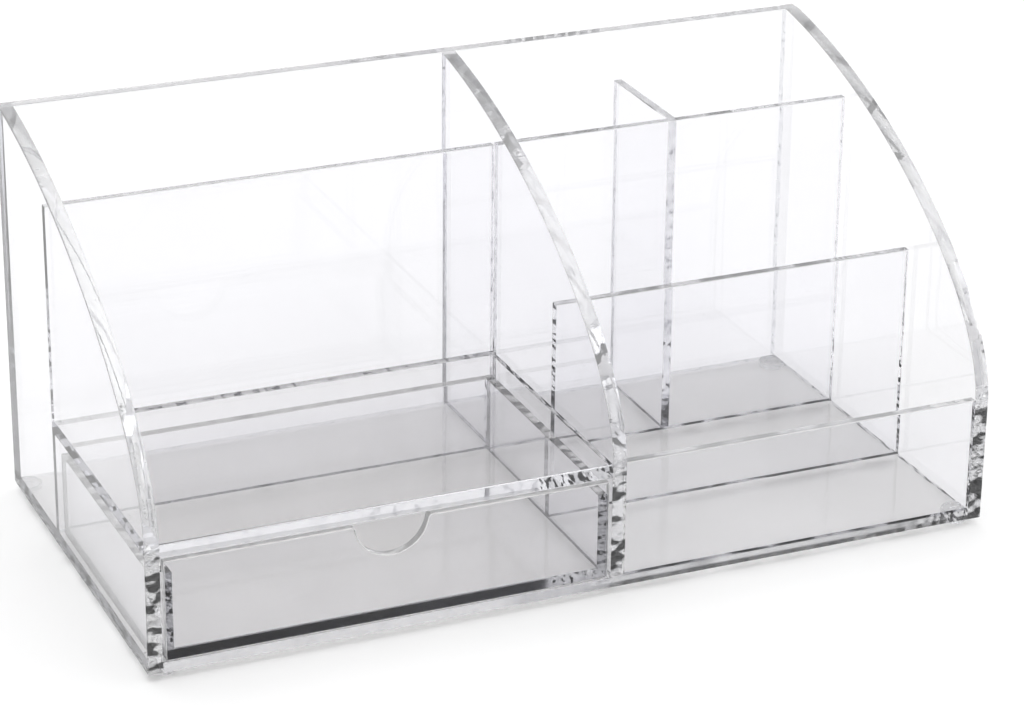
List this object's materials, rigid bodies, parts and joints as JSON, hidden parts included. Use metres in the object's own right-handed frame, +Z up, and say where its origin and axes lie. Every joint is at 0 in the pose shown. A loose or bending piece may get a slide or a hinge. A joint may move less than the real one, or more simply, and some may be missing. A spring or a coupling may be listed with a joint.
{
  "type": "brush holder with drawer",
  "caption": "Clear acrylic desk or vanity organiser with curved side panels, upright brush cells, open trays and a shelf over a pull-out drawer.",
  "frame": {"origin": "on the table under the middle of the box's bounding box, at the feet's underside", "axes": "+Z up; -Y the front, where the drawer opens; +X to the right seen from the front"},
  "size_m": [0.24, 0.122, 0.114],
  "materials": {
    "clear_acrylic_shell": "clear cast acrylic sheet, polished faces, flame-polished edges",
    "clear_acrylic_dividers": "clear cast acrylic sheet, thinner, polished edges",
    "clear_acrylic_drawer": "clear cast acrylic sheet, thinner, polished edges",
    "clear_soft_feet": "clear soft polyurethane bumper"
  },
  "bodies": {
    "case": {"base_panel": "clear_acrylic_shell", "left_side_panel": "clear_acrylic_shell", "right_side_panel": "clear_acrylic_shell", "back_panel": "clear_acrylic_shell", "centre_divider": "clear_acrylic_shell", "left_rear_divider": "clear_acrylic_dividers", "right_rear_divider": "clear_acrylic_dividers", "rear_cell_partition": "clear_acrylic_dividers", "right_middle_divider": "clear_acrylic_dividers", "right_front_panel": "clear_acrylic_dividers", "drawer_bay_top": "clear_acrylic_shell", "foot_front_left": "clear_soft_feet", "foot_front_right": "clear_soft_feet", "foot_rear_left": "clear_soft_feet", "foot_rear_right": "clear_soft_feet"},
    "drawer": {"drawer_front": "clear_acrylic_drawer", "drawer_bottom": "clear_acrylic_drawer", "drawer_left_side": "clear_acrylic_drawer", "drawer_right_side": "clear_acrylic_drawer", "drawer_back": "clear_acrylic_drawer"}
  },
  "joints": [
    {"name": "drawer_slide", "type": "slide", "parent": "case", "child": "drawer", "axis": [0, -1, 0], "range_m": [0, 0.06]}
  ]
}
